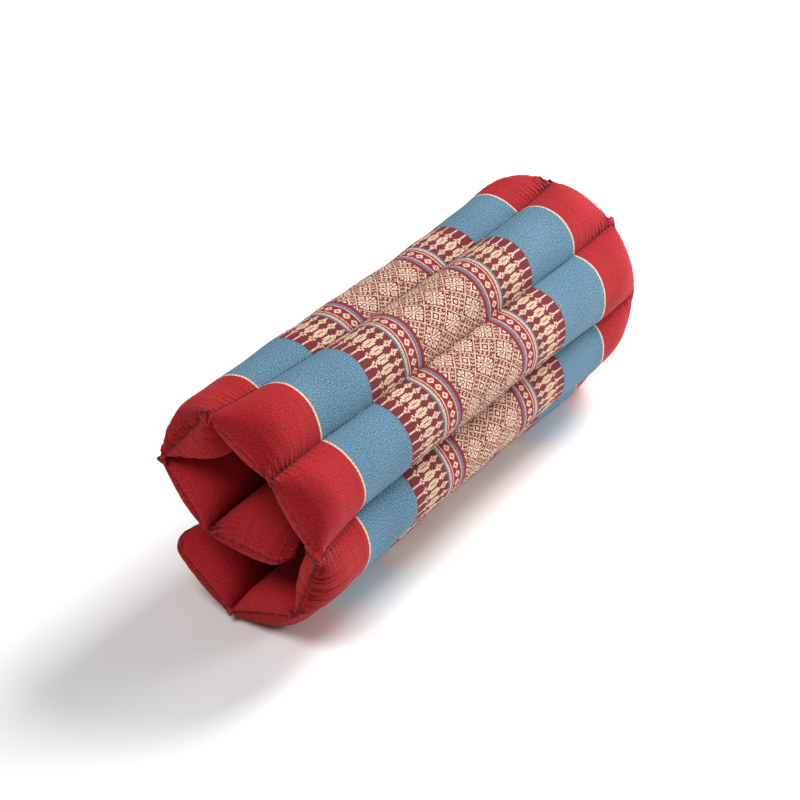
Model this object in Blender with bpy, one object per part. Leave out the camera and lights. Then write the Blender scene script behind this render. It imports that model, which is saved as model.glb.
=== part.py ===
"""Rolled meditation cushion: a filled mat of eight sewn channels, rolled up along its channels.

Frame: metres, +Z up, the floor at Z = 0, +X along the roll from the near end to the far end,
the origin under the middle of the roll.
"""

import math
from collections import namedtuple

import bmesh
import bpy
from mathutils import Vector

# Driving sizes, in metres
MAT_LENGTH = 0.500          # along the channels, from one sewn end to the other
HALF_LENGTH = MAT_LENGTH / 2
FLARE_LENGTH = 0.090        # stretch over which a seam spreads to its corner
NEAR_CLOSING = 0.036        # stretch over which a channel closes to its near sewn end
FAR_CLOSING = 0.044         # the same at the far end, where the filling sits further back
ROLL_CENTRE = 0.0059        # middle of the roll's width, in the y that SEAMS is written in
WEB = 0.0032                # the two cloths and the thread at a seam, and the sewn rim
OUTER_LEAN = math.radians(71)        # how steeply the patterned cloth leaves a seam
INNER_LEAN = math.radians(58)        # the same for the plain cloth on the inner side
CREASE_CLEARANCE = math.radians(4)   # kept between two inner faces that lean together
UNEVENNESS = 0.035          # share by which the filling swells and thins along a channel
SWELL_LENGTH = 0.310        # from one swelling of the filling to the next
SWELL_SHIFT = 1.7           # radians by which the swelling is shifted from channel to channel
RUN_STATIONS = 9            # sections between the two closing stretches
CLOSING_STATIONS = 6        # sections in each closing stretch
ARCH_STEPS = 11             # steps across each face of a channel
PEAK_SHARE = 0.75           # height of a cubic curve's middle over that of its two handles

# The seams of the section from the tucked-in edge I round to the loose edge G.
# Each seam runs straight from near_run to far_run and spreads to a corner at each end.
# Every column is (y, z), in metres.
Seam = namedtuple("Seam", "name near_corner near_run far_run far_corner")
SEAMS = (
    Seam("I", (-0.0405, 0.0803), (-0.0290, 0.0845), (-0.0260, 0.0850), (-0.0330, 0.0820)),
    Seam("H", (0.0355, 0.0805), (0.0360, 0.0820), (0.0385, 0.0840), (0.0375, 0.0830)),
    Seam("A", (0.0820, 0.1365), (0.0790, 0.1365), (0.0890, 0.1450), (0.0900, 0.1465)),
    Seam("B", (0.0298, 0.1900), (0.0292, 0.1825), (0.0292, 0.1825), (0.0311, 0.1889)),
    Seam("C", (-0.0312, 0.1556), (-0.0315, 0.1585), (-0.0310, 0.1585), (-0.0335, 0.1657)),
    Seam("D", (-0.0755, 0.1007), (-0.0620, 0.1010), (-0.0550, 0.0945), (-0.0605, 0.1020)),
    Seam("E", (-0.0511, 0.0347), (-0.0505, 0.0365), (-0.0410, 0.0385), (-0.0370, 0.0400)),
    Seam("F", (0.0165, 0.0090), (0.0175, 0.0066), (0.0185, 0.0066), (0.0195, 0.0095)),
    Seam("G", (0.0742, 0.0550), (0.0735, 0.0503), (0.0735, 0.0503), (0.0745, 0.0540)),
)

# How far each channel's two faces rise from the line between its seams, in metres.
# The patterned face changes evenly from near_rise to far_rise.
Channel = namedtuple("Channel", "name near_rise far_rise inner_rise")
CHANNELS = (
    Channel("IH", 0.0215, 0.0215, 0.0200),
    Channel("HA", 0.0230, 0.0220, 0.0200),
    Channel("AB", 0.0225, 0.0260, 0.0210),
    Channel("BC", 0.0250, 0.0245, 0.0200),
    Channel("CD", 0.0250, 0.0220, 0.0200),
    Channel("DE", 0.0225, 0.0175, 0.0180),
    Channel("EF", 0.0230, 0.0230, 0.0180),
    Channel("FG", 0.0250, 0.0250, 0.0180),
)


def seam_point(seam, x):
    """Place of a seam in the section at x: its straight run plus the spread to its corners."""
    along = (x + HALF_LENGTH) / MAT_LENGTH
    run = Vector(seam.near_run).lerp(Vector(seam.far_run), along)
    near_spread = max(0.0, 1 - (x + HALF_LENGTH) / FLARE_LENGTH) ** 2
    far_spread = max(0.0, 1 - (HALF_LENGTH - x) / FLARE_LENGTH) ** 2
    run += near_spread * (Vector(seam.near_corner) - Vector(seam.near_run))
    run += far_spread * (Vector(seam.far_corner) - Vector(seam.far_run))
    return run - Vector((ROLL_CENTRE, 0.0))


def fullness(x):
    """Share of its full rise that a channel has at x: 0 at the sewn ends, 1 past the closing stretch."""
    closing = NEAR_CLOSING if x < 0 else FAR_CLOSING
    depth = min(HALF_LENGTH - abs(x), closing)
    return math.sqrt(1 - (1 - depth / closing) ** 2)


def swell(channel_index, x):
    """Slow unevenness of the filling, different in each channel."""
    wave = math.sin(math.tau * x / SWELL_LENGTH + SWELL_SHIFT * channel_index)
    return 1 + UNEVENNESS * wave * fullness(x)


def outward(start, end):
    """Unit normal of the line between two seams, towards the patterned side."""
    line = (end - start).normalized()
    return Vector((line.y, -line.x))


def arch(start, end, normal, rise, share, start_lean, end_lean):
    """Points of a cubic curve from start up to, but not with, end, which rises along the normal."""
    line = (end - start).normalized()
    reach = rise / PEAK_SHARE
    start_handle = start + line * (reach / math.tan(start_lean)) + normal * (reach * share)
    end_handle = end - line * (reach / math.tan(end_lean)) + normal * (reach * share)
    points = []
    for step in range(ARCH_STEPS):
        t = (1 - math.cos(math.pi * step / ARCH_STEPS)) / 2
        s = 1 - t
        points.append(s**3 * start + 3 * s * s * t * start_handle + 3 * s * t * t * end_handle + t**3 * end)
    return points


def section(x):
    """The mat's closed outline at x: the patterned face from I to G, then the plain face back to I."""
    seams = [seam_point(seam, x) for seam in SEAMS]
    normals = [outward(a, b) for a, b in zip(seams, seams[1:])]
    leans = [INNER_LEAN]
    webs = [normals[0] * WEB / 2]
    for before, after in zip(normals, normals[1:]):
        inner_angle = math.pi - before.angle(after)
        leans.append(min(INNER_LEAN, inner_angle / 2 - CREASE_CLEARANCE))
        webs.append((before + after).normalized() * WEB / 2)
    leans.append(INNER_LEAN)
    webs.append(normals[-1] * WEB / 2)

    outer = []
    inner = []
    along = (x + HALF_LENGTH) / MAT_LENGTH
    for k, channel in enumerate(CHANNELS):
        share = fullness(x) * swell(k, x)
        outer_rise = channel.near_rise + along * (channel.far_rise - channel.near_rise)
        outer += arch(seams[k] + webs[k], seams[k + 1] + webs[k + 1], normals[k],
                      outer_rise, share, OUTER_LEAN, OUTER_LEAN)
        inner += arch(seams[k] - webs[k], seams[k + 1] - webs[k + 1], -normals[k],
                      channel.inner_rise, share, leans[k], leans[k + 1])
    outer.append(seams[-1] + webs[-1])
    inner.append(seams[-1] - webs[-1])
    return outer + inner[::-1]


def stations():
    """Places of the sections along X, close together where the channels close."""
    shares = [1 - math.cos(math.pi / 2 * step / CLOSING_STATIONS) for step in range(CLOSING_STATIONS)]
    near = [-HALF_LENGTH + NEAR_CLOSING * share for share in shares]
    straight = MAT_LENGTH - NEAR_CLOSING - FAR_CLOSING
    run_start = -HALF_LENGTH + NEAR_CLOSING
    run = [run_start + straight * step / (RUN_STATIONS - 1) for step in range(RUN_STATIONS)]
    far = [HALF_LENGTH - FAR_CLOSING * share for share in reversed(shares)]
    return near + run + far


def build_mat():
    """One closed skin over all the sections, flat where it presses on the floor."""
    mesh = bpy.data.meshes.new("rolled_cushion")
    builder = bmesh.new()
    rings = []
    for x in stations():
        ring = [builder.verts.new((x, point.x, max(point.y, 0.0))) for point in section(x)]
        rings.append(ring)
    count = len(rings[0])
    for ring, following in zip(rings, rings[1:]):
        for i in range(count):
            j = (i + 1) % count
            builder.faces.new((ring[i], ring[j], following[j], following[i]))
    for ring in (rings[0], rings[-1]):
        for i in range(count // 2 - 1):
            across = count - 1 - i
            builder.faces.new((ring[i], ring[i + 1], ring[across - 1], ring[across]))
    bmesh.ops.recalc_face_normals(builder, faces=builder.faces)
    builder.to_mesh(mesh)
    builder.free()
    mesh.shade_smooth()
    return mesh


def red_cotton():
    """Plain red cotton, the colour that shows most on the ends and the inner side."""
    material = bpy.data.materials.new("red_cotton")
    material.use_nodes = True
    shader = material.node_tree.nodes["Principled BSDF"]
    shader.inputs["Base Color"].default_value = (0.40, 0.02, 0.03, 1.0)
    shader.inputs["Roughness"].default_value = 0.85
    shader.inputs["Metallic"].default_value = 0.0
    return material


for old in list(bpy.data.objects):
    bpy.data.objects.remove(old, do_unlink=True)

mat = bpy.data.objects.new("rolled_cushion", build_mat())
mat.data.materials.append(red_cotton())
bpy.context.scene.collection.objects.link(mat)
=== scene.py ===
"""Rolled meditation cushion: a filled cotton mat of eight sewn channels, rolled up along them.

Frame: metres, +Z up, the floor at Z = 0, +X along the roll from the near end to the far end,
the origin under the middle of the roll.
"""

import math
from collections import namedtuple
from functools import partial

import bmesh
import bpy
import numpy as np
from mathutils import Matrix, Vector


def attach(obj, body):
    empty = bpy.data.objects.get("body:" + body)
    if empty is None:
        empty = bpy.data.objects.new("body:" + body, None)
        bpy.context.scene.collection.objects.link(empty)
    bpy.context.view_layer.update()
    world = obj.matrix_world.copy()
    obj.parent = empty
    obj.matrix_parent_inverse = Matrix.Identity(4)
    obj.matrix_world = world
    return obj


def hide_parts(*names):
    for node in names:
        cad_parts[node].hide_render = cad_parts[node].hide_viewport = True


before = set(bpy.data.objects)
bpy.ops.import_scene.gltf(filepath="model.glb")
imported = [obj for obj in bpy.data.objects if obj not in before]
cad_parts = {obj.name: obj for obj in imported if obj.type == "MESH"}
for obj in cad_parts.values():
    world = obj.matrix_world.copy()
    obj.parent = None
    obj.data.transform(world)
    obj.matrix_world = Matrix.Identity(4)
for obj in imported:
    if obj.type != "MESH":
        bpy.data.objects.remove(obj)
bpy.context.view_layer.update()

# The filled mat
# Two cotton cloths are sewn together along eight channels and at all four edges, and each
# channel is stuffed through its end before that end is sewn shut.
# The patterned cloth is outside, and the plain red one is on the inner side of the roll.

MAT_LENGTH = 0.500
HALF_LENGTH = MAT_LENGTH / 2
FLARE_LENGTH = 0.090        # stretch over which a seam spreads to its corner
NEAR_CLOSING = 0.036        # stretch over which a channel closes to its near sewn end
FAR_CLOSING = 0.044         # the same at the far end, where the filling sits further back
ROLL_CENTRE = 0.0059        # middle of the roll's width, in the y that the seams are written in
ROLL_MIDDLE = (0.0, 0.1)    # y and z of the line that the roll is wound round
WEB = 0.0014                # the two cloths and the thread at a seam
OUTER_LEAN = math.radians(71)
INNER_LEAN = math.radians(58)
CREASE_CLEARANCE = math.radians(4)
UNEVENNESS = 0.035          # share by which the filling swells and thins along a channel
SWELL_LENGTH = 0.310
SWELL_SHIFT = 1.7
PEAK_SHARE = 0.75           # height of a cubic curve's middle over that of its two handles
WAIST_LENGTH = 0.19         # the roll is a little slimmer this far to each side of its middle
WAIST_DEPTH = 0.0035
WAIST_CROWN = 0.06          # share by which the channels crown higher at the waist
VALLEY_BULGE = 0.0022       # how far both faces stand past the end seam that pulls them together
VALLEY_ANGLE = math.radians(12)
DRAWN_IN = 0.0028           # how far an end seam is drawn in between two corners
DRAWN_FADE = 0.030          # stretch over which that fades out
ROUNDED_CORNER = 0.016      # radius of the four corners of the mat's loose and tucked-in edges
ROUNDED_FADE = 0.045

# Seams from the tucked-in edge I round to the loose edge G: near corner, near run, far run and
# far corner, each as (y, z)
SEAM_NAMES = "IHABCDEFG"
SEAMS = np.array((
    ((-0.0405, 0.0803), (-0.0290, 0.0845), (-0.0260, 0.0850), (-0.0330, 0.0820)),
    ((0.0355, 0.0805), (0.0360, 0.0820), (0.0385, 0.0840), (0.0375, 0.0830)),
    ((0.0793, 0.1331), (0.0790, 0.1365), (0.0890, 0.1450), (0.0900, 0.1465)),
    ((0.0298, 0.1900), (0.0292, 0.1825), (0.0292, 0.1825), (0.0311, 0.1889)),
    ((-0.0312, 0.1556), (-0.0315, 0.1585), (-0.0310, 0.1585), (-0.0335, 0.1657)),
    ((-0.0755, 0.1007), (-0.0620, 0.1010), (-0.0550, 0.0945), (-0.0605, 0.1020)),
    ((-0.0511, 0.0347), (-0.0505, 0.0365), (-0.0410, 0.0385), (-0.0370, 0.0400)),
    ((0.0165, 0.0090), (0.0175, 0.0066), (0.0185, 0.0066), (0.0195, 0.0095)),
    ((0.0742, 0.0550), (0.0735, 0.0503), (0.0735, 0.0503), (0.0745, 0.0540)),
))
WAISTED_SEAMS = slice(2, 7)

# How far each channel's outer face rises from the line between its seams at the near and the far
# end, and its inner face at the near end and elsewhere; how it fills out from its two ends, where
# less than 1 is sooner than the plain curve and more is later; and the flat width of its cloth
Channel = namedtuple(
    "Channel", "name near_rise far_rise near_inner inner near_slack far_slack width")
CHANNELS = (
    Channel("IH", 0.0215, 0.0215, 0.0200, 0.0200, 1.0, 1.0, 0.0900),
    Channel("HA", 0.0230, 0.0220, 0.0200, 0.0200, 1.0, 1.1, 0.0900),
    Channel("AB", 0.0233, 0.0285, 0.0320, 0.0210, 0.7, 0.55, 0.0915),
    Channel("BC", 0.0250, 0.0245, 0.0200, 0.0200, 1.0, 1.0, 0.0890),
    Channel("CD", 0.0250, 0.0220, 0.0200, 0.0200, 1.0, 0.9, 0.0914),
    Channel("DE", 0.0225, 0.0175, 0.0180, 0.0180, 1.0, 1.1, 0.0900),
    Channel("EF", 0.0230, 0.0230, 0.0180, 0.0180, 1.0, 1.1, 0.0900),
    Channel("FG", 0.0250, 0.0250, 0.0180, 0.0180, 1.0, 1.1, 0.0900),
)
CLOTH_WIDTHS = np.array([channel.width for channel in CHANNELS])
OUTER_STEPS = 96            # steps across the patterned face of a channel
INNER_STEPS = 48            # steps across its plain face
CLOSING_STATIONS = 36       # in the stretch where a channel closes
FINE_SPACING = 0.0013       # between stations where the seams are puckered
COARSE_SPACING = 0.0035     # between stations in the smooth run
PLAIN_RUN = 0.362           # length of that smooth run
CURVE_POINTS = 160          # points of a curve from which its evenly spaced ones are read


def stations():
    """Places along the channels, and the angle through which the closing cloth has turned there."""
    angles = np.linspace(0, math.pi / 2, CLOSING_STATIONS)
    near = -HALF_LENGTH + NEAR_CLOSING * (1 - np.cos(angles))
    far = HALF_LENGTH - FAR_CLOSING * (1 - np.cos(angles))
    near_run = np.arange(near[-1] + FINE_SPACING, -PLAIN_RUN / 2, FINE_SPACING)
    far_run = np.arange(far[-1] - FINE_SPACING, PLAIN_RUN / 2, -FINE_SPACING)
    count = round((far_run[-1] - near_run[-1]) / COARSE_SPACING)
    middle = np.linspace(near_run[-1], far_run[-1], count + 1)[1:-1]
    places = np.concatenate((near, near_run, middle, far_run[::-1], far[::-1]))
    turned = np.full(len(places), math.pi / 2)
    turned[:len(near)] = angles
    turned[-len(far):] = angles[::-1]
    return places, turned


def mix(a, b, share):
    """The value this share of the way from a to b."""
    return a + (b - a) * share


def seam_lines(places):
    """Points of the nine seams at these places along the roll: (places, seams, 2)."""
    along = ((places + HALF_LENGTH) / MAT_LENGTH)[:, None, None]
    near_spread = np.clip(1 - (places + HALF_LENGTH) / FLARE_LENGTH, 0, 1)[:, None, None] ** 2
    far_spread = np.clip(1 - (HALF_LENGTH - places) / FLARE_LENGTH, 0, 1)[:, None, None] ** 2
    points = mix(SEAMS[:, 1], SEAMS[:, 2], along)
    points = points + near_spread * (SEAMS[:, 0] - SEAMS[:, 1])
    points = points + far_spread * (SEAMS[:, 3] - SEAMS[:, 2])
    points = points - (ROLL_CENTRE, 0)
    away = points[:, WAISTED_SEAMS] - ROLL_MIDDLE
    away /= np.linalg.norm(away, axis=2, keepdims=True)
    points[:, WAISTED_SEAMS] -= away * WAIST_DEPTH * waist(places)[:, None, None]
    return points


def waist(places):
    """How far the roll is drawn in at these places: 1 in its middle, 0 near the ends."""
    return np.clip(1 - (places / WAIST_LENGTH) ** 2, 0, 1)


def arch(start, end, normal, rise, share, start_lean, end_lean, steps):
    """Evenly spaced points of a cubic curve from start to end that rises along the normal."""
    line = (end - start) / np.linalg.norm(end - start)
    reach = rise / PEAK_SHARE
    start_handle = start + line * (reach / math.tan(start_lean)) + normal * (reach * share)
    end_handle = end - line * (reach / math.tan(end_lean)) + normal * (reach * share)
    t = np.linspace(0, 1, CURVE_POINTS)[:, None]
    s = 1 - t
    curve = s**3 * start + 3 * s * s * t * start_handle + 3 * s * t * t * end_handle + t**3 * end
    run = np.concatenate(([0], np.cumsum(np.linalg.norm(np.diff(curve, axis=0), axis=1))))
    even = np.linspace(0, run[-1], steps + 1)
    return np.stack((np.interp(even, run, curve[:, 0]), np.interp(even, run, curve[:, 1])), 1)


places, turned = stations()
fullness = np.sin(turned)
seams = seam_lines(places)
outer_rows = []
inner_rows = []
outer_webs = []
for place, full, points in zip(places, fullness, seams):
    lines = np.diff(points, axis=0)
    lines /= np.linalg.norm(lines, axis=1)[:, None]
    normals = np.stack((lines[:, 1], -lines[:, 0]), 1)
    leans = [INNER_LEAN]
    webs = [normals[0] * WEB / 2]
    for before, after in zip(normals, normals[1:]):
        inner_angle = math.pi - math.acos(np.clip(before @ after, -1, 1))
        leans.append(min(INNER_LEAN, inner_angle / 2 - CREASE_CLEARANCE))
        between = before + after
        webs.append(between / np.linalg.norm(between) * WEB / 2)
    leans.append(INNER_LEAN)
    webs.append(normals[-1] * WEB / 2)
    along = (place + HALF_LENGTH) / MAT_LENGTH
    crown_gain = 1 + WAIST_CROWN * waist(place)
    outer = []
    inner = []
    for k, channel in enumerate(CHANNELS):
        wave = math.sin(math.tau * place / SWELL_LENGTH + SWELL_SHIFT * k)
        filled = full ** (channel.far_slack if place > 0 else channel.near_slack)
        share = filled * (1 + UNEVENNESS * wave * filled)
        outer_rise = mix(channel.near_rise, channel.far_rise, along) * crown_gain
        inner_rise = mix(channel.inner, channel.near_inner, max(0.0, -place / HALF_LENGTH))
        outer.append(arch(points[k] + webs[k], points[k + 1] + webs[k + 1], normals[k],
                          outer_rise, share, OUTER_LEAN, OUTER_LEAN, OUTER_STEPS)[:-1])
        inner.append(arch(points[k] - webs[k], points[k + 1] - webs[k + 1], -normals[k],
                          inner_rise, share, leans[k], leans[k + 1], INNER_STEPS)[:-1])
    outer.append((points[-1] + webs[-1])[None])
    inner.append((points[-1] - webs[-1])[None])
    outer_rows.append(np.concatenate(outer))
    inner_rows.append(np.concatenate(inner))
    outer_webs.append(points + webs)
outer_rows = np.array(outer_rows)
inner_rows = np.array(inner_rows)
outer_webs = np.array(outer_webs)

# How each face is drawn into small pleats where it is gathered on to an end seam, in tenths of a
# millimetre: for each channel, outer near, outer far, inner near and inner far
GATHERS = np.array((
    (6, 5, 18, 5),
    (4, 4, 5, 5),
    (28, 26, 19, 6),
    (5, 4, 5, 3),
    (6, 4, 5, 3),
    (30, 10, 14, 5),
    (8, 5, 8, 4),
    (5, 5, 7, 4),
)) / 10000
# Deeper folds that stand across a channel seam near a corner: face, channel, seam, end, strength,
# distance from the seam and from the end over which they fade
SEAM_FOLDS = (
    ("outer", "AB", "B", "near", 1.1, 0.015, 0.030),
    ("outer", "AB", "B", "far", 2.6, 0.014, 0.026),
    ("outer", "BC", "C", "far", 2.4, 0.009, 0.024),
    ("outer", "BC", "C", "near", 1.6, 0.011, 0.022),
    ("outer", "CD", "C", "near", 0.7, 0.008, 0.020),
    ("outer", "DE", "D", "near", 1.8, 0.011, 0.018),
    ("inner", "IH", "H", "near", 2.6, 0.016, 0.016),
)
# Lengths of the pleats, how far in from the end they reach, and their shares of the height
PLEAT_BANDS = ((0.0046, 0.012, 0.80), (0.0090, 0.024, 0.64), (0.0160, 0.040, 0.48))
PLEAT_RISE = 0.0016         # from the end seam to where the pleats stand up
PLEAT_SLANT = 0.16          # how far they run to one side
PLEAT_SLANT_LENGTH = 0.021
PLEAT_WANDER = 1.1          # radians by which their spacing wanders
PLEAT_CROWN = 0.35          # how slowly they rise from the channel seams
END_CROWN = 0.5             # how slowly the end seam draws in from the corners
MEAN_CREST = 0.64           # of a row of rounded crests, so that pleats add no thickness
SEAM_PUCKER = 0.00015       # height of the puckers along a channel seam in the plain run
SEAM_PUCKER_END = 0.00105   # the same close to the ends
PUCKER_SHARE = 0.8          # of that height at a seam without deeper folds
PUCKER_REACH = 0.036        # how far from the ends the strong puckers fade
PUCKER_WIDTH = 0.0075       # how far from the seams
PUCKER_RISE = 0.003         # from a seam to where the puckers stand up
PUCKER_LENGTHS = (0.0056, 0.0140)
WIDE_PUCKER_SHARE = 0.6     # height of the wider puckers over that of the fine ones
PUCKER_DRIFT = 0.35         # how far they run to one side
PUCKER_DRIFT_LENGTH = 0.017
PUCKER_SHIFT = 7            # makes the puckers of each seam different
SEAM_SPACING = 0.09         # from seam to seam on the flat cloth, as a round number
LUMP = 0.0007               # slow unevenness of the plant-fibre filling
LUMP_LENGTHS = (0.0105, 0.0172)
LUMP_WIDTHS = (0.019, 0.012)
LUMP_SHIFT = 2.3            # radians from channel to channel
LUMP_BEND = 2.2             # radians by which the lumps wander across a channel
FULL_GATHER = 0.0030        # height that counts as 1 for the finest pleats, which the material draws as bumps and as painted shade
MOST_GATHER = 1.2

# The two faces of the mat: steps across a channel, which way is out, the columns of GATHERS for
# the two ends, and the seed of its unevenness
Face = namedtuple("Face", "name steps side near_column far_column seed")
OUTER = Face("outer", OUTER_STEPS, 1, 0, 1, 100)
INNER = Face("inner", INNER_STEPS, -1, 2, 3, 200)


def noise(values, seed):
    """Smooth noise between -1 and 1 along a line: a fixed sum of sines."""
    draw = np.random.RandomState(seed)
    total = np.zeros_like(values, dtype=float)
    for octave in range(5):
        pace = 1 + 0.83 * octave
        total += np.sin(values * pace + draw.uniform(0, math.tau)) / (1 + 0.5 * octave)
    return total / 2.4


def pleats(across, length, seed):
    """Rounded crests with sharp valleys between them, as cloth drawn up on a thread."""
    phase = across / length * math.pi + PLEAT_WANDER * noise(across / length * 0.9, seed)
    depth = 1 + 0.5 * noise(across / length * 1.7, seed + 50)
    return (np.abs(np.sin(phase)) - MEAN_CREST) * depth


def across_cloth(face):
    """For every point across a face its channel, how far over that channel it lies, from 0 to 1,
    and its distance from the tucked-in edge on the flat cloth."""
    number = np.arange(len(CHANNELS) * face.steps + 1)
    channel = np.minimum(number // face.steps, len(CHANNELS) - 1)
    share = number / face.steps - channel
    starts = np.concatenate(([0], np.cumsum(CLOTH_WIDTHS)[:-1]))
    return channel, share, starts[channel] + share * CLOTH_WIDTHS[channel]


def in_space(rows):
    """The points of a face with their places along the roll: (stations, points, 3)."""
    return np.dstack((np.repeat(places[:, None], rows.shape[1], 1), rows))


def end_depths(rows):
    """Distances of every point from the two ends, measured over the surface along the channel."""
    lengths = np.linalg.norm(np.diff(in_space(rows), axis=0), axis=2)
    run = np.concatenate((np.zeros((1, rows.shape[1])), np.cumsum(lengths, axis=0)))
    return run, run[-1] - run


def pucker_strength(rows, face):
    """How strongly every point of a face is puckered by the seams of its channel."""
    channel, share, _ = across_cloth(face)
    width = CLOTH_WIDTHS[channel]
    near, far = end_depths(rows)
    from_seam = np.minimum(share, 1 - share) * width
    from_end = np.minimum(near, far)
    strength = PUCKER_SHARE * np.exp(-from_seam / PUCKER_WIDTH - from_end / PUCKER_REACH)
    for side, name, seam, end, extra, across_fade, along_fade in SEAM_FOLDS:
        if side == face.name:
            past_seam = (share if name[0] == seam else 1 - share) * width
            depth = near if end == "near" else far
            fade = np.exp(-past_seam / across_fade - depth / along_fade)
            strength += extra * fade * (channel == SEAM_NAMES.index(name[0]))
    return strength


def relief(rows, face):
    """Height of pleats, puckers and lumps over one face of the mat: (stations, points)."""
    channel, share, across = across_cloth(face)
    crown = np.sin(math.pi * share) ** PLEAT_CROWN
    height = np.zeros(rows.shape[:2])
    near, far = end_depths(rows)
    for depth, column, end_seed in ((near, face.near_column, 3), (far, face.far_column, 7)):
        slant = PLEAT_SLANT * noise(across / PLEAT_SLANT_LENGTH, face.seed + end_seed)
        rising = 1 - np.exp(-((depth / PLEAT_RISE) ** 2))
        for number, (length, reach, part) in enumerate(PLEAT_BANDS):
            wave = pleats(across + slant * depth, length, face.seed + 11 * number + end_seed)
            fade = np.exp(-depth / reach)
            height += GATHERS[channel, column] * part * wave * rising * fade * crown
    from_seam = np.minimum(share, 1 - share) * CLOTH_WIDTHS[channel]
    seam_shift = np.round(across / SEAM_SPACING) * PUCKER_SHIFT
    drift = noise(places[:, None] / PUCKER_DRIFT_LENGTH + seam_shift, face.seed + 5)
    along = places[:, None] + PUCKER_DRIFT * from_seam * drift + seam_shift
    fine = pleats(along, PUCKER_LENGTHS[0], face.seed + 21)
    wide = pleats(along, PUCKER_LENGTHS[1], face.seed + 31)
    rising = 1 - np.exp(-((from_seam / PUCKER_RISE) ** 2))
    strength = SEAM_PUCKER_END * pucker_strength(rows, face)
    height += rising * (strength * (fine + WIDE_PUCKER_SHARE * wide) + SEAM_PUCKER * wide)
    offset = channel * LUMP_SHIFT
    bend = LUMP_BEND * np.sin(across / LUMP_WIDTHS[0] + offset)
    long_lumps = np.sin(places[:, None] / LUMP_LENGTHS[0] + offset + bend)
    cross_lumps = np.sin(places[:, None] / LUMP_LENGTHS[1] - 1.4 * offset + across / LUMP_WIDTHS[1])
    return height + LUMP / 2 * (long_lumps + cross_lumps) * crown * fullness[:, None]


def displaced(rows, face):
    """The face's points in space: drawn in at its rounded corners and end seams, standing past
    those seams between the corners, and moved by the relief along its normals."""
    _, share, across = across_cloth(face)
    crown = np.sin(math.pi * share) ** END_CROWN
    points = in_space(rows)
    outward = np.where(places < 0, -1.0, 1.0)[:, None]
    bulge = VALLEY_BULGE * (turned / VALLEY_ANGLE) * np.exp(1 - turned / VALLEY_ANGLE)
    points[:, :, 0] += outward * bulge[:, None] * crown
    from_edge = np.minimum(across, across[-1] - across)
    reach = np.clip(1 - from_edge / ROUNDED_CORNER, 0, 1)
    rounding = ROUNDED_CORNER * (1 - np.sqrt(1 - reach**2))
    from_end = (HALF_LENGTH - np.abs(places))[:, None]
    drawn = DRAWN_IN * crown * np.clip(1 - from_end / DRAWN_FADE, 0, 1) ** 2
    drawn = drawn + rounding * np.clip(1 - from_end / ROUNDED_FADE, 0, 1)
    points[:, :, 0] -= outward * drawn
    normals = np.cross(np.gradient(points, axis=0), np.gradient(points, axis=1)) * face.side
    normals /= np.maximum(np.linalg.norm(normals, axis=2, keepdims=True), 1e-12)
    points += normals * relief(rows, face)[:, :, None]
    points[:, :, 2] = np.maximum(points[:, :, 2], 0)
    return points


outer_points = displaced(outer_rows, OUTER)
inner_points = displaced(inner_rows, INNER)


def cloth_uv(rows, face):
    """Place of every point on the flat cloth, in metres from the middle of seam C."""
    across = across_cloth(face)[2]
    past_c = across - across[SEAM_NAMES.index("C") * face.steps]
    depth = end_depths(rows)[0]
    middle = int(np.argmin(np.abs(places)))
    along = depth - depth[middle] + places[middle]
    return np.dstack((along, np.repeat(past_c[None, :], len(places), 0)))


def gather_values(rows, face):
    """For every point its distance from the nearest end, and the strengths of the pleats and of the
    puckers there, which the material draws as bumps and as painted shade."""
    gathers = GATHERS[across_cloth(face)[0]]
    depth = np.minimum(*end_depths(rows))
    near_end = places[:, None] < 0
    strength = np.where(near_end, gathers[:, face.near_column], gathers[:, face.far_column])
    strength = np.minimum(strength / FULL_GATHER, MOST_GATHER)
    return np.dstack((depth, strength, pucker_strength(rows, face), np.ones_like(depth)))


def closed_skin(builder, mesh):
    """Turn the faces outwards, shade them smooth and put them into the mesh."""
    bmesh.ops.recalc_face_normals(builder, faces=builder.faces)
    builder.to_mesh(mesh)
    builder.free()
    mesh.shade_smooth()
    return mesh


def new_object(name, data):
    """An object at the origin of the scene."""
    made = bpy.data.objects.new(name, data)
    bpy.context.scene.collection.objects.link(made)
    return made


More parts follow.
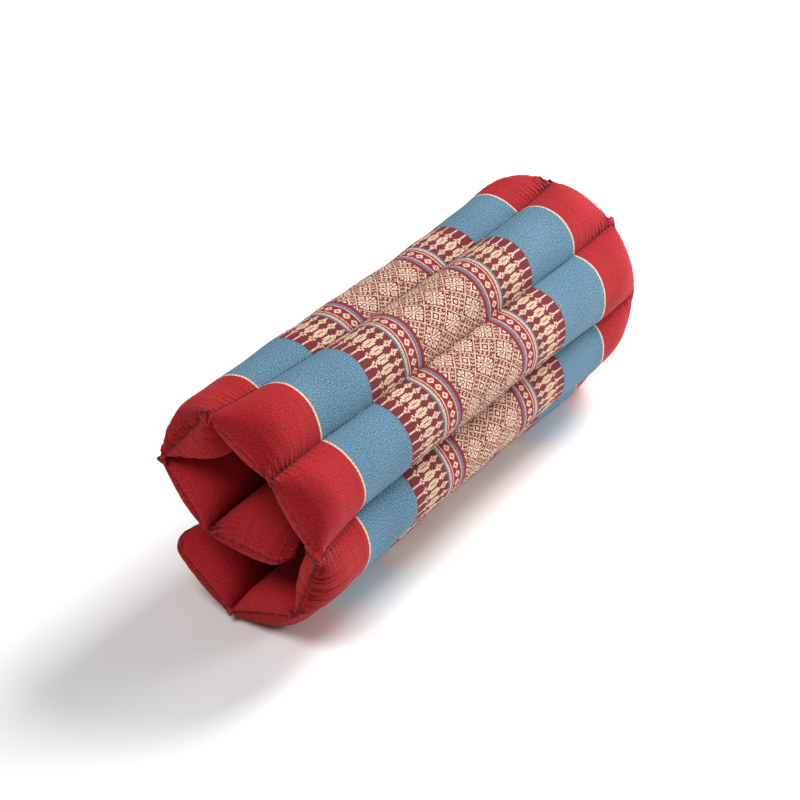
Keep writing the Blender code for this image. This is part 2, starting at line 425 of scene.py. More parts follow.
def build_mat():
    """One closed skin: the outer face, the inner face and the webs that join them at the edges."""
    stations_count, outer_count = outer_points.shape[:2]
    ring_points = np.concatenate((outer_points, inner_points[:, ::-1]), 1)
    ring_uv = np.concatenate((cloth_uv(outer_rows, OUTER), cloth_uv(inner_rows, INNER)[:, ::-1]), 1)
    ring_gather = np.concatenate((gather_values(outer_rows, OUTER),
                                  gather_values(inner_rows, INNER)[:, ::-1]), 1)
    ring_count = ring_points.shape[1]
    index = np.arange(stations_count * ring_count).reshape(stations_count, ring_count)
    following = np.roll(index, -1, axis=1)
    quads = np.stack((index[:-1], following[:-1], following[1:], index[1:]), -1)
    faces = quads.reshape(-1, 4).tolist()
    on_outer = np.arange(ring_count) < outer_count - 1
    slots = np.where(on_outer, 0, 1)[None, :].repeat(stations_count - 1, 0).ravel().tolist()
    for ring in (index[0], index[-1]):
        for k in range(len(CHANNELS)):
            outer_line = ring[k * OUTER_STEPS:(k + 1) * OUTER_STEPS + 1]
            inner_line = ring[outer_count:][::-1][k * INNER_STEPS:(k + 1) * INNER_STEPS + 1]
            p = 0
            q = 0
            while p < OUTER_STEPS or q < INNER_STEPS:
                if q == INNER_STEPS or (p + 1) / OUTER_STEPS <= (q + 1) / INNER_STEPS:
                    faces.append((outer_line[p], outer_line[p + 1], inner_line[q]))
                    p += 1
                else:
                    faces.append((outer_line[p], inner_line[q + 1], inner_line[q]))
                    q += 1
                slots.append(1)
    mesh = bpy.data.meshes.new("rolled_mat")
    mesh.from_pydata(ring_points.reshape(-1, 3).tolist(), [], faces)
    mesh.polygons.foreach_set("material_index", slots)
    layer = mesh.uv_layers.new(name="cloth")
    corners = np.empty(len(mesh.loops), dtype=np.int32)
    mesh.loops.foreach_get("vertex_index", corners)
    layer.uv.foreach_set("vector", ring_uv.reshape(-1, 2)[corners].ravel())
    layer = mesh.attributes.new("gather", "FLOAT_COLOR", "POINT")
    layer.data.foreach_set("color", ring_gather.ravel())
    builder = bmesh.new()
    builder.from_mesh(mesh)
    return closed_skin(builder, mesh)


rolled_mat = new_object("rolled_mat", build_mat())


def linear(colour):
    """Linear colour from an sRGB hex value."""
    values = [int(colour[i:i + 2], 16) / 255 for i in (1, 3, 5)]
    return [v / 12.92 if v <= 0.04045 else ((v + 0.055) / 1.055) ** 2.4 for v in values] + [1.0]


def add_node(tree, kind, *inputs, **settings):
    """Add a node with its settings, fill or link its inputs in order, and return its first output.
    A second word in kind is the node's operation or data type."""
    kind, _, way = kind.partition(" ")
    names = [family + "Node" + kind for family in ("Shader", "Geometry", "Function")]
    node = tree.nodes.new(next(name for name in names if hasattr(bpy.types, name)))
    if way:
        setattr(node, "operation" if hasattr(node, "operation") else "data_type", way)
    for name, value in settings.items():
        setattr(node, name, value)
    for socket, value in zip([s for s in node.inputs if s.enabled], inputs):
        if isinstance(value, bpy.types.NodeSocket):
            tree.links.new(value, socket)
        elif value is not None:
            socket.default_value = value
    return next((s for s in node.outputs if s.enabled), None)


def new_material(name):
    """An empty material, its shader, and the function that adds a node to it."""
    material = bpy.data.materials.new(name)
    material.use_nodes = True
    tree = material.node_tree
    return material, tree.nodes["Principled BSDF"], partial(add_node, tree)


def set_ramp(output, stops):
    """Give the ramp behind this output hard-edged stops of (position, colour)."""
    ramp = output.node.color_ramp
    ramp.interpolation = "CONSTANT"
    ramp.elements[0].position = stops[0][0]
    ramp.elements[0].color = stops[0][1]
    ramp.elements[1].position = stops[1][0]
    ramp.elements[1].color = stops[1][1]
    for position, colour in stops[2:]:
        ramp.elements.new(position).color = colour
    return output


PLEAT_PITCH = 3.7           # millimetres from pleat to pleat along an end
PLEAT_FADE = 15.0           # millimetres from the end
PUCKER_PITCH = 5.2          # millimetres from pucker to pucker along a channel seam
FINE_WANDER = 3.5           # radians by which the spacing of both wanders
FINE_DEPTH = 0.0012         # metres from crest to valley of both at full strength
VALLEY_SHARPNESS = 1.6
VALLEY_SHADE = 0.75         # painted shade: share of the colour darkened at the bottom of a valley of full strength
DEEPEST_SHADE = 0.85        # the most painted shade in any valley


def gathered(add, u, v):
    """Height of the finest pleats and puckers as a share of FINE_DEPTH, and the painted shade
    between them: the share of its colour that the cloth keeps in their valleys."""
    values = add("SeparateColor", add("Attribute", attribute_name="gather"))
    place = add("CombineXYZ", u, v)
    fade = add("Math MULTIPLY", values, -1000 / PLEAT_FADE)
    fade = add("Math POWER", math.e, fade)
    pleated = add("Math MULTIPLY", fade, values.node.outputs["Green"])
    height = 0.0
    shade = 1.0
    for along, pitch, slowness, strength in (
        (v, PLEAT_PITCH, (0.05, 0.17, 0), pleated),
        (u, PUCKER_PITCH, (0.17, 0.05, 0), values.node.outputs["Blue"]),
    ):
        drift_place = add("VectorMath MULTIPLY", place, slowness)
        drift = add("TexNoise", drift_place, 1.0, 2.0, noise_dimensions="2D")
        phase = add("Math MULTIPLY", along, math.pi / pitch)
        phase = add("Math MULTIPLY_ADD", drift, FINE_WANDER, phase)
        wave = add("Math ABSOLUTE", add("Math SINE", phase))
        height = add("Math MULTIPLY_ADD", wave, strength, height)
        valley = add("Math POWER", add("Math SUBTRACT", 1, wave), VALLEY_SHARPNESS)
        lost = add("Math MULTIPLY", valley, strength)
        lost = add("Math MULTIPLY", lost, VALLEY_SHADE, use_clamp=True)
        lost = add("Math MINIMUM", lost, DEEPEST_SHADE)
        shade = add("Math MULTIPLY", shade, add("Math SUBTRACT", 1, lost))
    return height, shade


THREAD_ALONG = 0.700        # millimetres from thread to thread; drawn coarser than the real cloth,
THREAD_ACROSS = 0.685       # whose threads are too fine for the picture
WEAVE_DEPTH = 0.00012       # metres that a thread stands above the one that it covers
SLUB_STRETCHES = ((0.75, 1.9, 0), (1.9, 0.75, 0))    # thick places about 1 mm long, on both threads
SLUB_LIFT = 1.5             # how much higher a thick place stands, in thread heights
RED_SLUBS = 2.8             # how far the lightness of the red yarns varies with them


def slubs(add, flat):
    """How much thicker and lighter the yarns are here than on average, around 0."""
    warp, weft = [add("TexNoise", add("VectorMath MULTIPLY", flat, stretch),
                      1.0, 2.0, 0.6, noise_dimensions="2D") for stretch in SLUB_STRETCHES]
    both = add("Math ADD", warp, weft)
    return add("Math SUBTRACT", both, 1.0)


def plain_weave(add, u, v):
    """Height of threads that run over and under each other, between -1 and 1."""
    height = 1.0
    for along, spacing in ((u, THREAD_ALONG), (v, THREAD_ACROSS)):
        phase = add("Math MULTIPLY", along, math.pi / spacing)
        height = add("Math MULTIPLY", height, add("Math SINE", phase))
    return height


def finish_cotton(add, shader, u, v, colour, weave, yarn, roughness):
    """Paint shade into the cloth's colour in the valleys where it is gathered, raise it there, raise
    its weave, and give it a matt face.
    """
    height, shade = gathered(add, u, v)
    # painted shade: the colour is darkened in the valleys of the pleats and puckers
    colour = add("VectorMath SCALE", colour, shade)
    shader.id_data.links.new(colour, shader.inputs["Base Color"])
    surface = add("Math MULTIPLY_ADD", yarn, SLUB_LIFT, weave)
    drawn_up = add("Bump", 0.9, FINE_DEPTH, None, height)
    bump = add("Bump", 0.6, WEAVE_DEPTH, None, surface, drawn_up)
    shader.id_data.links.new(bump, shader.inputs["Normal"])
    shader.inputs["Roughness"].default_value = roughness
    shader.inputs["IOR"].default_value = 1.53
    shader.inputs["Specular IOR Level"].default_value = 0.16
    shader.inputs["Sheen Weight"].default_value = 0.04
    shader.inputs["Sheen Roughness"].default_value = 0.5


# Woven bands of the patterned cotton. All its sizes are in millimetres, and those along the cloth
# are distances from its middle.
FIELD_EDGE = 45.0
BANDS = (
    (0.0, "#62181F"), (FIELD_EDGE, "#8C1D27"), (47.9, "#616D80"), (50.9, "#5B3F50"),
    (51.9, "#841F27"), (65.2, "#77212A"), (66.2, "#C0A58E"), (69.2, "#456B7A"), (72.0, "#70232A"),
    (117.0, "#567C94"), (184.1, "#D0BCA2"), (186.2, "#A4191E"),
)
BAND_REACH = 260.0          # past the ends of the cloth
BLUE_BAND = (150.45, 33.45)          # middle and half width
SLUBS = 3.3                 # how far the lightness of the yarns varies with their thick places,
BLUE_SLUBS = 0.5            # and how much further that of the blue ones
FLECK_SCALE = (0.45, 0.8, 0)         # greenish flecks of about 2 mm in the blue bands
FLECKS = 0.4                # how strong they are at most
FIGURE_LIFT = 0.8           # how far the figure's floats stand up, in thread heights
DRIFT_SCALE = 0.021         # the pattern wanders a little, over stretches of 50 mm or so
DRIFT = 2.4                 # by at most about a millimetre to each side

# One quarter of the woven field's repeat: a star at the top left corner, the net's line across
# the middle, two rows of short blocks, and a small diamond at the bottom right corner
FIELD_CHART = """
########.#######....##
##...###..#####....###
#.##..............###.
#.#####.#####....###..
#..#####.#####..##..##
##..####..###..##..###
##...#####....##......
#.#...#####..##......#
#.###...#..###.####...
#.####....###.####....
##.###...###......###.
##.###..###......###.#
###.#..###.####.....##
##....###.####.....###
##...###.....####.###.
#...###.....####.###..
...###.####.....###...
..###.####.....###...#
.###.....####.###...##
###.....####.###...###
##.###......###...####
""".split()
FIELD_ALONG = 14.7          # half the repeat of the stars along the cloth
FIELD_ACROSS = 13.7         # half the repeat of the stars across the cloth
STAR_ROW = 7.8              # the first row of stars past seam C
NET_SLOPE = 21 / 20         # the net's strip runs aslant, this many threads along for one across,
NET_MIDDLE = 25.4           # where both add up to this, give or take half its width
NET_HALF_WIDTH = 6.4

# Half heights of one column of the ornament beside the blue band, from the teal stripe outwards,
# and of the holes in it, in units of 0.4 mm
COLUMN_HEIGHTS = (2, 2, 2, 2, 3, 5, 5, 3, 8, 8, 8, 3, 5, 5, 3, 2, 2, 2, 3, 5, 6, 5, 5,
                  9, 9, 9, 9, 9, 9, 9, 9, 9, 9, 9, 9, 9, 5, 5, 6, 5, 3, 2, 2, 8, 8, 8,
                  3, 5, 5, 3, 2, 2, 2, 2, 2, 2, 2, 2, 2, 2, 2, 2, 2, 2)
COLUMN_HOLES = {8: 1.5, 9: 1.5, 10: 1.5, 43: 1.5, 44: 1.5, 45: 1.5, 46: 1.5}
SLOT_CELLS = range(24, 35)
SLOT_HEIGHT = 1.1
COLUMN_UNIT = 0.4
COLUMN_TOP = 16             # half height, in those units, that counts as 1
COLUMN_PITCH = 9.133
COLUMN_START = 72.3
COLUMN_BAND = (94.65, 22.35)         # middle and half width

DIAMOND_ROW = 58.9          # the small diamonds in the red band
DIAMOND_SLANT = 1.12
DIAMOND_SIZE = 4.3          # from their middle to their tips
DIAMOND_HEART = 1.3         # the same for the hole in them
DIAMOND_CUT = 3.4           # where their tips are cut off along the cloth
TWIST_ROWS = (52.7, 64.8)   # the two-coloured twisted lines on both sides of the red band
TWIST_HALF_WIDTH = 0.65
TWIST_PITCH = 1.37
TWIST_DARK = 0.27           # half the share of a turn that shows the darker yarn


def patterned_cotton():
    """Mercerised cotton woven in bands: a matt face, a faint lustre and a slightly raised figure."""
    material, shader, add = new_material("patterned_cotton")
    flat = add("VectorMath MULTIPLY", add("UVMap", uv_map="cloth"), (1000, 1000, 0))
    drift = add("TexNoise", flat, DRIFT_SCALE, 2.0, noise_dimensions="2D")
    centred = add("VectorMath SUBTRACT", drift.node.outputs["Color"], (0.5, 0.5, 0.5))
    drifted = add("VectorMath MULTIPLY_ADD", centred, (DRIFT, DRIFT, 0), flat)
    u = add("SeparateXYZ", drifted)
    v = u.node.outputs["Y"]
    distance = add("Math ABSOLUTE", u)

    reach = add("Math DIVIDE", distance, BAND_REACH)
    bands = set_ramp(add("ValToRGB", reach),
                     [(edge / BAND_REACH, linear(colour)) for edge, colour in BANDS])

    # the woven field: each row of the chart is kept as the three bytes of a ramp's colour
    fold_along = add("Math PINGPONG", u, FIELD_ALONG)
    star_place = add("Math SUBTRACT", v, STAR_ROW)
    fold_across = add("Math PINGPONG", star_place, FIELD_ACROSS)
    column = add("Math MULTIPLY_ADD", fold_along, 1 / THREAD_ALONG, 0.5)
    column = add("Math FLOOR", column)
    row = add("Math MULTIPLY_ADD", fold_across, 1 / THREAD_ACROSS, 0.5)
    stops = []
    for number, line in enumerate(FIELD_CHART):
        parts = [line[first:first + 8] for first in (0, 8, 16)]
        numbers = [sum((mark == "#") << place for place, mark in enumerate(part)) for part in parts]
        stops.append((number / len(FIELD_CHART), [value / 256 for value in numbers] + [1.0]))
    chart = set_ramp(add("ValToRGB", add("Math DIVIDE", row, len(FIELD_CHART))), stops)
    byte = add("SeparateColor", chart)
    for first, part in ((8, byte.node.outputs["Green"]), (16, byte.node.outputs["Blue"])):
        past = add("Math GREATER_THAN", column, first - 0.5)
        byte = add("Mix FLOAT", past, byte, part)
    divisor = add("Math POWER", 2, add("Math MODULO", column, 8))
    shifted = add("Math DIVIDE", add("Math MULTIPLY_ADD", byte, 256, 0.01), divisor)
    figured = add("Math MODULO", add("Math FLOOR", shifted), 2)
    in_field = add("Math LESS_THAN", distance, FIELD_EDGE)
    field_figure = add("Math MULTIPLY", figured, in_field)
    slanting = add("Math MULTIPLY_ADD", row, NET_SLOPE, column)
    on_net = add("Math COMPARE", slanting, NET_MIDDLE, NET_HALF_WIDTH)
    figure_colour = add("Mix RGBA", on_net, linear("#D8BAA2"), linear("#CFA692"))

    # the columns beside the blue bands
    column_place = add("Math SUBTRACT", distance, COLUMN_START)
    cell = add("Math DIVIDE", column_place, THREAD_ALONG * len(COLUMN_HEIGHTS))
    stops = []
    for number, height in enumerate(COLUMN_HEIGHTS):
        hole = SLOT_HEIGHT if number in SLOT_CELLS else COLUMN_HOLES.get(number, 0)
        colour = [height / COLUMN_TOP, hole / COLUMN_TOP, 0.0, 1.0]
        if not stops or stops[-1][1] != colour:
            stops.append((number / len(COLUMN_HEIGHTS), colour))
    profile = set_ramp(add("ValToRGB", cell), stops)
    half_height = add("SeparateColor", profile)
    half_hole = half_height.node.outputs["Green"]
    column_fold = add("Math PINGPONG", star_place, COLUMN_PITCH / 2)
    lift = add("Math DIVIDE", column_fold, COLUMN_TOP * COLUMN_UNIT)
    under = add("Math LESS_THAN", lift, half_height)
    past_hole = add("Math GREATER_THAN", lift, half_hole)
    in_column = add("Math COMPARE", distance, *COLUMN_BAND)
    column_figure = add("Math MULTIPLY", under, past_hole)
    column_figure = add("Math MULTIPLY", column_figure, in_column)

    # the row of small diamonds in the red band
    from_row = add("Math ABSOLUTE", add("Math SUBTRACT", distance, DIAMOND_ROW))
    diamond = add("Math MULTIPLY_ADD", column_fold, DIAMOND_SLANT, from_row)
    in_diamond = add("Math LESS_THAN", diamond, DIAMOND_SIZE)
    past_heart = add("Math GREATER_THAN", diamond, DIAMOND_HEART)
    squared = add("Math LESS_THAN", from_row, DIAMOND_CUT)
    diamond_figure = add("Math MULTIPLY", in_diamond, past_heart)
    diamond_figure = add("Math MULTIPLY", diamond_figure, squared)

    # the two-coloured twisted lines on both sides of the red band
    twist_place = add("Math MULTIPLY_ADD", v, 1 / TWIST_PITCH, distance)
    twist = add("Math GREATER_THAN", add("Math PINGPONG", twist_place, 0.5), TWIST_DARK)
    on_first, on_second = [add("Math COMPARE", distance, row_place, TWIST_HALF_WIDTH)
                           for row_place in TWIST_ROWS]
    on_twist = add("Math ADD", on_first, on_second)
    twist_figure = add("Math MULTIPLY", twist, on_twist)

    figure = add("Math ADD", column_figure, diamond_figure)
    colour = add("Mix RGBA", field_figure, bands, figure_colour)
    colour = add("Mix RGBA", figure, colour, linear("#D0B198"))
    colour = add("Mix RGBA", on_twist, colour, linear("#C68C86"))
    colour = add("Mix RGBA", twist_figure, colour, linear("#DDB9AE"))

    # yarns: each differs a little in colour, and the blue ones more, with greenish flecks
    yarn = slubs(add, flat)
    on_blue = add("Math COMPARE", distance, *BLUE_BAND)
    gain = add("Math MULTIPLY_ADD", on_blue, BLUE_SLUBS, SLUBS)
    lightness = add("Math MULTIPLY_ADD", yarn, gain, 1.0)
    colour = add("VectorMath SCALE", colour, lightness)
    fleck_place = add("VectorMath MULTIPLY", flat, FLECK_SCALE)
    fleck = add("TexNoise", fleck_place, 1.0, 1.0, 0.7, noise_dimensions="2D")
    fleck = add("MapRange", fleck, 0.56, 0.68, 0.0, FLECKS)
    fleck = add("Math MULTIPLY", fleck, on_blue)
    colour = add("Mix RGBA", fleck, colour, linear("#7C8466"))

    # the weave: plain over and under, with the figure's floats standing a little higher
    floats = add("Math ADD", field_figure, figure)
    weave = add("Math MULTIPLY_ADD", floats, FIGURE_LIFT, plain_weave(add, u, v))
    finish_cotton(add, shader, u, v, colour, weave, yarn, 0.82)
    return material


def red_cotton():
    """Plain woven red cotton: matt, with slub threads that catch the light unevenly."""
    material, shader, add = new_material("red_cotton")
    flat = add("VectorMath MULTIPLY", add("UVMap", uv_map="cloth"), (1000, 1000, 0))
    u = add("SeparateXYZ", flat)
    v = u.node.outputs["Y"]
    yarn = slubs(add, flat)
    lightness = add("Math MULTIPLY_ADD", yarn, RED_SLUBS, 1.0)
    colour = add("VectorMath SCALE", linear("#B3252A")[:3], lightness)
    finish_cotton(add, shader, u, v, colour, plain_weave(add, u, v), yarn, 0.85)
    return material


plain_red = red_cotton()
rolled_mat.data.materials.append(patterned_cotton())
rolled_mat.data.materials.append(plain_red)
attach(rolled_mat, "root")
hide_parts("rolled_cushion")

# Folded corners of the ends
# Where two end seams meet, the spare cloth of both channels is folded over and tacked down, which
# leaves a small stuffed ear of red cotton at most of the corners.

# The photograph's plane, in which the places of the ears and tacks were read in millimetres from
# their corner: to the right, up, and into the picture
ACROSS = Vector((0.5852, -0.8109, 0.0))
RISE = Vector((0.4334, 0.3128, 0.8452))
TOWARDS = Vector((0.6854, 0.4946, -0.5345))
SIGHT_START = 0.06          # metres in front of the corner from which a point is looked for

# Seam, end, tip, the two ends of the root, thickness in millimetres, number of folds, and how far
# the root is sunk into the mat
EARS = (
    ("A", "near", (-2.8, 0.0), (4.2, 2.6), (4.4, -4.6), 3.0, 2, -1.2),
    ("B", "near", (0.8, -6.8), (-5.4, 3.8), (-2.0, 2.8), 2.0, 0, 0.3),
    ("B", "near", (1.8, -7.8), (-2.2, 3.4), (2.0, 3.4), 2.4, 0, 0.0),
    ("B", "near", (2.8, -7.6), (2.4, 4.0), (6.8, 3.8), 2.8, 0, 0.3),
    ("C", "near", (2.6, -3.4), (-2.0, 2.2), (1.4, 3.4), 2.2, 1, 1.0),
    ("D", "near", (2.4, -3.4), (-9.0, 8.6), (6.6, 10.4), 4.4, 2, 2.4),
    ("F", "near", (0.8, -3.2), (-2.4, 3.2), (3.2, 1.6), 1.8, 1, 1.0),
    ("C", "far", (-1.0, 6.2), (-6.6, -1.6), (2.2, -1.4), 1.8, 2, 1.6),
)
EAR_STEPS = 17              # from the root to the tip
EAR_TURNS = 30              # points around
EAR_ROOTED = 0.18           # share of its length that an ear runs on into the mat
EAR_TAPER = 0.55
EAR_FOLD = 0.55             # depth of the folds over the ear's thickness
EAR_FOLD_TURN = 0.9         # radians by which they wind from root to tip
EAR_LIFT = 0.0020           # of the tip above the mat


def corner_point(name, end):
    """The tip of a corner, where a channel seam meets an end."""
    row = 0 if end == "near" else -1
    y, z = seams[row, SEAM_NAMES.index(name)]
    return Vector((places[row], y, z))


def laid_on(pieces, name, end, offset, behind=0.030):
    """Place and outward direction of the first piece behind a point of the photograph's plane, or
    that point itself where nothing lies less than this far behind the corner."""
    point = corner_point(name, end) + (ACROSS * offset[0] + RISE * offset[1]) / 1000
    for piece in pieces:
        start = point - TOWARDS * SIGHT_START
        found, place, normal, _ = piece.ray_cast(start, TOWARDS, distance=SIGHT_START + behind)
        if found:
            return place, normal
    return point, -TOWARDS


def build_ears():
    """Closed tapering rolls of cloth with a few folds running to the tip."""
    builder = bmesh.new()
    layer = builder.loops.layers.uv.new("cloth")
    for name, end, tip, left, right, thickness, folds, sunk in EARS:
        tip_place, tip_normal = laid_on([rolled_mat], name, end, tip, 0.002)
        left_place, left_normal = laid_on([rolled_mat], name, end, left, 0.004)
        right_place, right_normal = laid_on([rolled_mat], name, end, right, 0.004)
        tip_place = tip_place + tip_normal * EAR_LIFT
        left_place = left_place - left_normal * sunk / 1000
        right_place = right_place - right_normal * sunk / 1000
        root = (left_place + right_place) / 2
        half = (right_place - left_place) / 2
        axis = tip_place - root
        face = half.cross(axis).normalized()
        if face.dot(TOWARDS) > 0:
            face = -face
        rings = []
        for step in range(EAR_STEPS):
            share = -EAR_ROOTED + (1 + EAR_ROOTED) * step / EAR_STEPS
            taper = (1 - max(share, 0)) ** EAR_TAPER
            belly = math.sqrt(1 - share**2)
            ring = []
            for turn in range(EAR_TURNS):
                angle = math.tau * turn / EAR_TURNS
                crest = abs(math.cos(angle * folds / 2 + EAR_FOLD_TURN * share)) - 0.6
                lift = math.sin(angle) * thickness / 1000 * belly * (1 + EAR_FOLD * crest)
                spread = half * math.cos(angle) * taper
                ring.append(builder.verts.new(root + axis * share + spread + face * lift))
            rings.append(ring)
        point = builder.verts.new(tip_place)
        faces = []
        for ring, following in zip(rings, rings[1:]):
            for turn in range(EAR_TURNS):
                after = (turn + 1) % EAR_TURNS
                quad = (ring[turn], ring[after], following[after], following[turn])
                faces.append(builder.faces.new(quad))
        for turn in range(EAR_TURNS):
            side = (rings[-1][turn], rings[-1][(turn + 1) % EAR_TURNS], point)
            faces.append(builder.faces.new(side))
        faces.append(builder.faces.new(rings[0][::-1]))
        for polygon in faces:
            for loop in polygon.loops:
                away = loop.vert.co - root
                loop[layer].uv = (away.dot(axis.normalized()), away.dot(half.normalized()))
    return closed_skin(builder, bpy.data.meshes.new("folded_corners"))


folded_corners = new_object("folded_corners", build_ears())
folded_corners.data.materials.append(plain_red)
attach(folded_corners, "root")

# Stitches
# Dark twisted cotton: a row of running stitches along every channel seam, slanting ones sewn over
# the two ends and the two long edges, and short bars of close stitches that hold the corners, two of
# which also stand in for the shadow in folds at corner B.

THREAD_PATCHES = 900.0      # to the metre, because the thread's own twist is too fine to show
STITCH_WOBBLE = 0.14        # radians
STITCH_EVENNESS = (0.75, 1.15)       # shortest and longest stitch over the usual one


def sewing_thread():
    """Dark cotton thread, nearly black, which draws every seam as a row of small dashes."""
    material, shader, add = new_material("sewing_thread")
    place = add("TexCoord")
    grain = add("TexNoise", place.node.outputs["Object"], THREAD_PATCHES, 1.0)
    colour = add("Mix RGBA", grain, linear("#1E1216"), linear("#5C4646"))
    shader.id_data.links.new(colour, shader.inputs["Base Color"])
    shader.inputs["Roughness"].default_value = 0.7
    shader.inputs["Specular IOR Level"].default_value = 0.2
    return material


def stitch_tree():
    """Lays a small spindle of thread at every pitch of the guide lines, slanting to and fro. The
    last number of each random value is its seed."""
    tree = bpy.data.node_groups.new("stitches", "GeometryNodeTree")
    add = partial(add_node, tree)
    for name, kind in (("Guide", "Geometry"), ("Pitch", "Float"), ("Length", "Float"),
                       ("Thickness", "Float"), ("Showing", "Float"), ("Thread", "Material")):
        tree.interface.new_socket(name, in_out="INPUT", socket_type="NodeSocket" + kind)
    tree.interface.new_socket("Stitches", in_out="OUTPUT", socket_type="NodeSocketGeometry")
    guide, pitch, length, thickness, showing, thread = tree.nodes.new("NodeGroupInput").outputs[:6]
    curve = add("MeshToCurve", guide)
    spaced = add("ResampleCurve", curve, None, pitch, mode="LENGTH")
    tangent = add("InputTangent")
    outward = add("InputNamedAttribute FLOAT_VECTOR", "outward")
    tilt = add("InputNamedAttribute FLOAT", "tilt")
    along = add("AxesToRotation", outward, tangent, primary_axis="Z", secondary_axis="X")
    odd = add("Math MODULO", add("InputIndex"), 2)
    side = add("Math MULTIPLY_ADD", odd, 2, -1)
    wobble = add("RandomValue FLOAT", -STITCH_WOBBLE, STITCH_WOBBLE, None, 5)
    angle = add("Math MULTIPLY_ADD", tilt, side, wobble)
    slant = add("AxisAngleToRotation", (0, 0, 1), angle)
    turned = add("RotateRotation", along, slant, rotation_space="LOCAL")
    spindle = add("MeshUVSphere", 6, 4, 0.5)
    shown = add("RandomValue BOOLEAN", showing, None, 8)
    uneven = add("RandomValue FLOAT", *STITCH_EVENNESS, None, 11)
    uneven = add("Math MULTIPLY", length, uneven)
    size = add("CombineXYZ", uneven, thickness, thickness)
    laid = add("InstanceOnPoints", spaced, shown, spindle, None, None, turned, size)
    smooth = add("SetShadeSmooth", add("RealizeInstances", laid))
    dressed = add("SetMaterial", smooth, None, thread)
    tree.links.new(dressed, tree.nodes.new("NodeGroupOutput").inputs[0])
    return tree


def guide_mesh(name, runs):
    """Lines that carry the cloth's outward direction and the slant of their stitches."""
    mesh = bpy.data.meshes.new(name)
    edges = []
    start = 0
    for points, outward, tilt in runs:
        edges += [(i, i + 1) for i in range(start, start + len(points) - 1)]
        start += len(points)
    mesh.from_pydata(np.concatenate([run[0] for run in runs]).tolist(), edges, [])
    layer = mesh.attributes.new("outward", "FLOAT_VECTOR", "POINT")
    layer.data.foreach_set("vector", np.concatenate([run[1] for run in runs]).ravel())
    layer = mesh.attributes.new("tilt", "FLOAT", "POINT")
    layer.data.foreach_set("value", np.concatenate([np.full(len(run[0]), run[2]) for run in runs]))
    return mesh


def sewn(name, runs, **sizes):
    """The stitches of these guide lines as one plain mesh."""
    piece = new_object(name, guide_mesh(name, runs))
    modifier = piece.modifiers.new(name, "NODES")
    modifier.node_group = stitching
    sockets = {item.name: item.identifier for item in stitching.interface.items_tree}
    for socket, value in sizes.items():
        modifier[sockets[socket]] = value
    modifier[sockets["Thread"]] = thread
    finished = piece.evaluated_get(bpy.context.evaluated_depsgraph_get())
    plain = bpy.data.meshes.new_from_object(finished)
    piece.modifiers.clear()
    piece.data = plain
    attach(piece, "root")
    return piece


EDGE_LIFT = 0.0006          # how far the oversewn stitches lie outside a sewn end or edge
RUNNING_LIFT = 0.0012       # how far the running stitches lie above the bottom of their seam
RUNNING_STOP = 0.003        # how far from the ends they stop
RUNNING_SLANT = 0.12        # radians
OVERSEWN_SLANT = 0.62
TACK_SLANT = 1.15
TACK_LIFT = 0.0004
TACK_POINTS = 7
running_runs = []
oversewn_runs = []
for k in range(1, len(SEAM_NAMES) - 1):
    outward = outer_webs[:, k] - seams[:, k]
    outward /= np.linalg.norm(outward, axis=1)[:, None]
    line = np.column_stack((places, outer_webs[:, k] + outward * RUNNING_LIFT))
    outward = np.column_stack((0 * places, outward))
    clear = np.abs(places) < HALF_LENGTH - RUNNING_STOP
    running_runs.append((line[clear], outward[clear], RUNNING_SLANT))
for k, neighbour in ((0, 1), (-1, -2)):
    outward = seams[:, k] - seams[:, neighbour]
    outward /= np.linalg.norm(outward, axis=1)[:, None]
    line = np.column_stack((places, seams[:, k] + outward * EDGE_LIFT))
    outward = np.column_stack((0 * places, outward))
    clear = np.abs(places) < HALF_LENGTH - ROUNDED_CORNER
    oversewn_runs.append((line[clear], outward[clear], OVERSEWN_SLANT))
for row, away in ((0, -1.0), (-1, 1.0)):
    for k in range(len(CHANNELS)):
        outer_line = outer_points[row, k * OUTER_STEPS:(k + 1) * OUTER_STEPS + 1:2]
        inner_line = inner_points[row, k * INNER_STEPS:(k + 1) * INNER_STEPS + 1]
        line = (outer_line + inner_line) / 2 + (away * EDGE_LIFT, 0, 0)
        outward = np.repeat([[away, 0.0, 0.0]], len(line), 0)
        oversewn_runs.append((line[2:-2], outward[2:-2], OVERSEWN_SLANT))

# Bars of close stitches at the corners, each from one point to another in the photograph's plane.
# The two bars at B that run down beside and between the ears are dark thread laid in the folds'
# shadow, so they are partly painted shadow.
TACKS_AND_FOLD_SHADOWS = (
    ("A", "near", (-0.8, -0.2), (6.4, -2.2)),
    ("B", "near", (-5.6, 5.6), (-3.9, 0.4)),
    ("B", "near", (-4.6, 4.2), (5.6, 5.2)),
    # these two stand in for the shadow in the folds beside and between the B ears: painted shadow in
    # dark thread
    ("B", "near", (-3.9, 0.4), (-0.6, -4.6)),
    ("B", "near", (2.9, 3.6), (3.2, -3.2)),
    ("C", "near", (-0.4, -1.2), (3.4, -2.0)),
    ("D", "near", (-8.3, 6.7), (0.8, -1.6)),
    ("D", "near", (7.6, 9.3), (4.5, 2.9)),
    ("E", "near", (-3.6, 5.2), (-0.8, 1.6)),
    ("F", "near", (-2.8, 2.8), (-0.6, -0.6)),
    ("G", "near", (8.8, -0.4), (7.8, -6.8)),
    ("C", "far", (0.5, -0.6), (1.6, -3.2)),
)
tack_and_shadow_runs = []
for name, end, start, stop in TACKS_AND_FOLD_SHADOWS:
    points = []
    outward = []
    for share in np.linspace(0, 1, TACK_POINTS):
        offset = mix(np.array(start), np.array(stop), share)
        place, normal = laid_on([folded_corners, rolled_mat], name, end, offset)
        points.append(place + normal * TACK_LIFT)
        outward.append(normal)
    tack_and_shadow_runs.append((np.array(points), np.array(outward), TACK_SLANT))

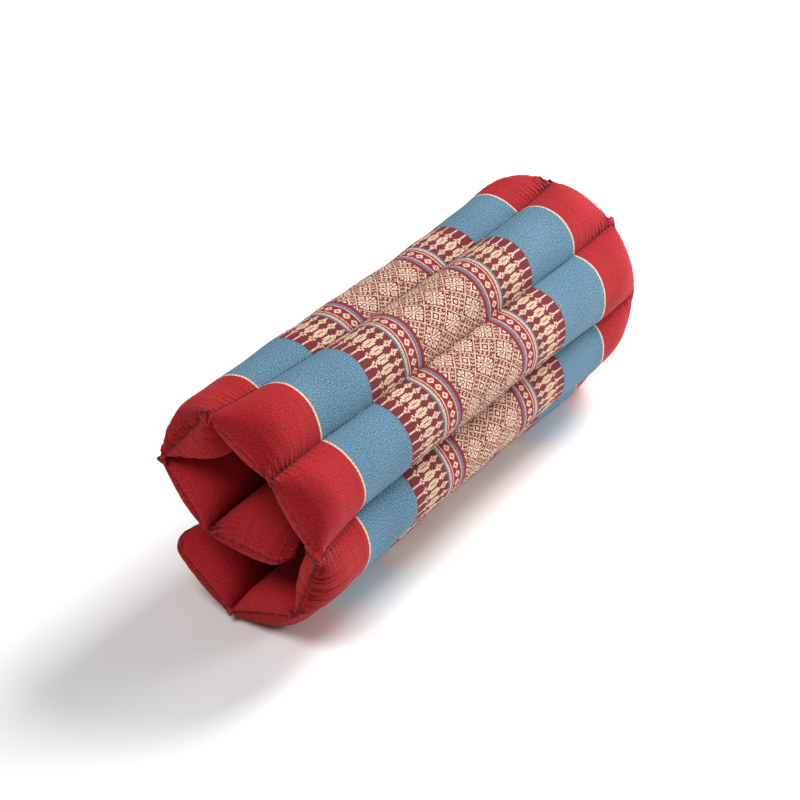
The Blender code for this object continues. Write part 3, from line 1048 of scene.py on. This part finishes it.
thread = sewing_thread()
stitching = stitch_tree()
sewn("running_stitches", running_runs,
     Pitch=0.0044, Length=0.0026, Thickness=0.00085, Showing=0.92)
sewn("oversewn_stitches", oversewn_runs,
     Pitch=0.0036, Length=0.0027, Thickness=0.00085, Showing=0.80)
sewn("corner_tacks_and_fold_shadows", tack_and_shadow_runs,
     Pitch=0.0008, Length=0.0026, Thickness=0.00070, Showing=0.90)

# Floor, light and camera
# A plain white studio floor under three soft lamps: the main one high behind on the right, one low
# on the right that lights the side of the roll, and a weak one high on the left, nearer to the
# camera. A pale surround fills the shadows, and the lens is long, as in the photograph.

FLOOR_SIZE = 12.0
floor_mesh = bpy.data.meshes.new("floor")
half = FLOOR_SIZE / 2
floor_mesh.from_pydata([(-half, -half, 0), (half, -half, 0), (half, half, 0), (-half, half, 0)],
                       [], [(0, 1, 2, 3)])
floor = new_object("floor", floor_mesh)
# Matt white board: even and without gloss, so that the roll stands on clean white
floor_paint, floor_shader, _ = new_material("matt_white_floor")
floor_shader.inputs["Base Color"].default_value = linear("#FFFFFF")
floor_shader.inputs["Roughness"].default_value = 0.9
floor_mesh.materials.append(floor_paint)

LIGHT_AIM = Vector((0.0, 0.0, 0.10))
for name, place, size, power in (
    ("key", Vector((1.85, -0.30, 1.90)), 1.0, 74),
    ("side", Vector((2.30, -1.70, 0.62)), 1.2, 67),
    ("fill", Vector((-1.25, 0.40, 2.10)), 1.2, 29),
):
    light = bpy.data.lights.new(name, "AREA")
    light.size = size
    light.energy = power
    lamp = new_object(name, light)
    lamp.location = place
    lamp.rotation_euler = (LIGHT_AIM - place).to_track_quat("-Z", "Y").to_euler()

surround = bpy.data.worlds.new("pale_surround")
surround.use_nodes = True
background = surround.node_tree.nodes["Background"]
background.inputs["Color"].default_value = linear("#FFFFFF")
background.inputs["Strength"].default_value = 0.12
bpy.context.scene.world = surround

CAMERA_PLACE = Vector((-1.1975, -0.8426, 1.0122))
CAMERA_DIP = math.radians(32.308)
CAMERA_HEADING = math.radians(35.815)
forward = Vector((math.cos(CAMERA_DIP) * math.cos(CAMERA_HEADING),
                  math.cos(CAMERA_DIP) * math.sin(CAMERA_HEADING),
                  -math.sin(CAMERA_DIP)))
right = Vector((math.sin(CAMERA_HEADING), -math.cos(CAMERA_HEADING), 0))
up = right.cross(forward)
camera = new_object("camera", bpy.data.cameras.new("camera"))
camera.data.lens = 90.0
camera.data.sensor_width = 36.0
turn = Matrix((right, up, -forward)).transposed().to_4x4()
turn.translation = CAMERA_PLACE
camera.matrix_world = turn
bpy.context.scene.camera = camera
bpy.context.scene.view_settings.view_transform = "Standard"
